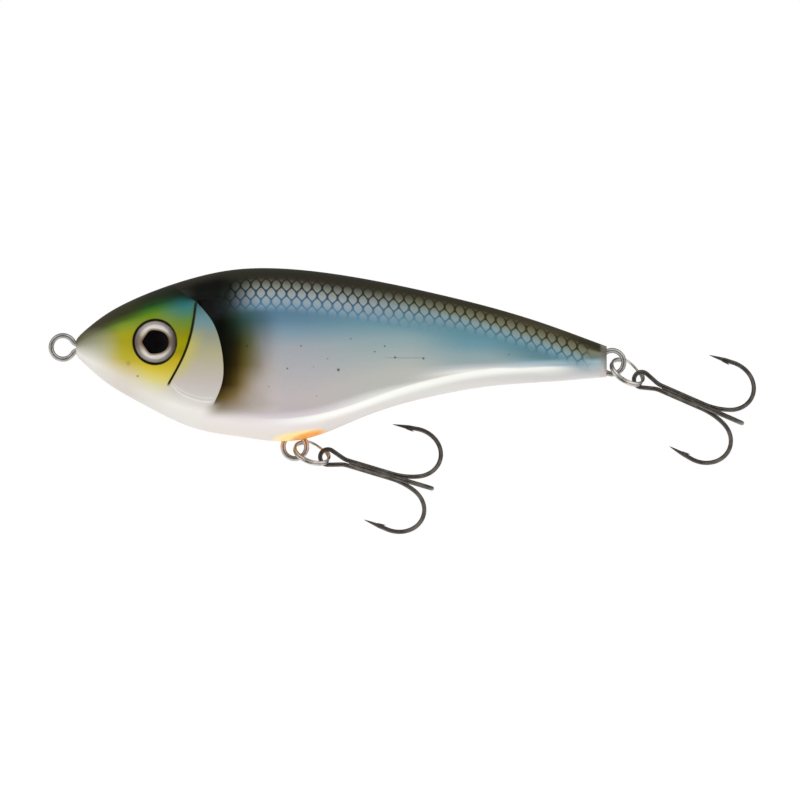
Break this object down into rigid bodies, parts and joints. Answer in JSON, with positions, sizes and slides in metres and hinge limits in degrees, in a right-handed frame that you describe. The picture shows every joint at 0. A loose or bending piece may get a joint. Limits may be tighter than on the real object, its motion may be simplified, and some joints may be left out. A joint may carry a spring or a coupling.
{
  "type": "swimbait",
  "caption": "Glossy fish-shaped hard fishing lure with a deep belly, clear domed eyes, a wire line tie and treble hooks hung on split rings below the belly and behind the tail.",
  "frame": {"origin": "centre of the line-tie ring at the nose, in the lure's middle plane", "axes": "+X from nose to tail, +Z to the back of the fish, the left flank on -Y"},
  "size_m": [0.1603, 0.029, 0.0603],
  "materials": {
    "shell": "gloss",
    "wire": "satin",
    "split_ring": "polished",
    "hook": "satin",
    "braze": "satin",
    "eye_foil": "polished",
    "eye_dome": "gloss",
    "ballast": "satin"
  },
  "bodies": {
    "lure_body": {"left_shell": "shell", "right_shell": "shell", "nose_line_tie": "wire", "belly_hanger": "wire", "tail_hanger": "wire", "left_eye_foil": "eye_foil", "right_eye_foil": "eye_foil", "left_eye_dome": "eye_dome", "right_eye_dome": "eye_dome", "front_ballast": "ballast", "belly_ballast": "ballast", "rear_ballast": "ballast"},
    "rattle": {"rattle_ball": "ballast"},
    "belly_ring": {"belly_split_ring": "split_ring"},
    "belly_treble": {"belly_treble_double_hook": "hook", "belly_treble_third_hook": "hook", "belly_treble_braze": "braze"},
    "tail_ring": {"tail_split_ring": "split_ring"},
    "tail_treble": {"tail_treble_double_hook": "hook", "tail_treble_third_hook": "hook", "tail_treble_braze": "braze"}
  },
  "joints": [
    {"name": "belly_ring_swing", "type": "hinge", "parent": "lure_body", "child": "belly_ring", "pos_m": [0.0525, 0, -0.0225], "axis": [0, 1, 0], "range_deg": [-8, 118]},
    {"name": "belly_treble_swing", "type": "hinge", "parent": "belly_ring", "child": "belly_treble", "pos_m": [0.05635, 0, -0.0239], "axis": [0.2962, -0.5, 0.8138], "range_deg": [-45, 45]},
    {"name": "tail_ring_swing", "type": "hinge", "parent": "lure_body", "child": "tail_ring", "pos_m": [0.1243, 0, -0.00335], "axis": [0, 1, 0], "range_deg": [-75, 45]},
    {"name": "tail_treble_swing", "type": "hinge", "parent": "tail_ring", "child": "tail_treble", "pos_m": [0.12774, 0, -0.00558], "axis": [0.4717, -0.5, 0.7263], "range_deg": [-45, 45]},
    {"name": "rattle_slide", "type": "slide", "parent": "lure_body", "child": "rattle", "axis": [1, 0, 0], "range_m": [-0.0009, 0.0065]}
  ]
}
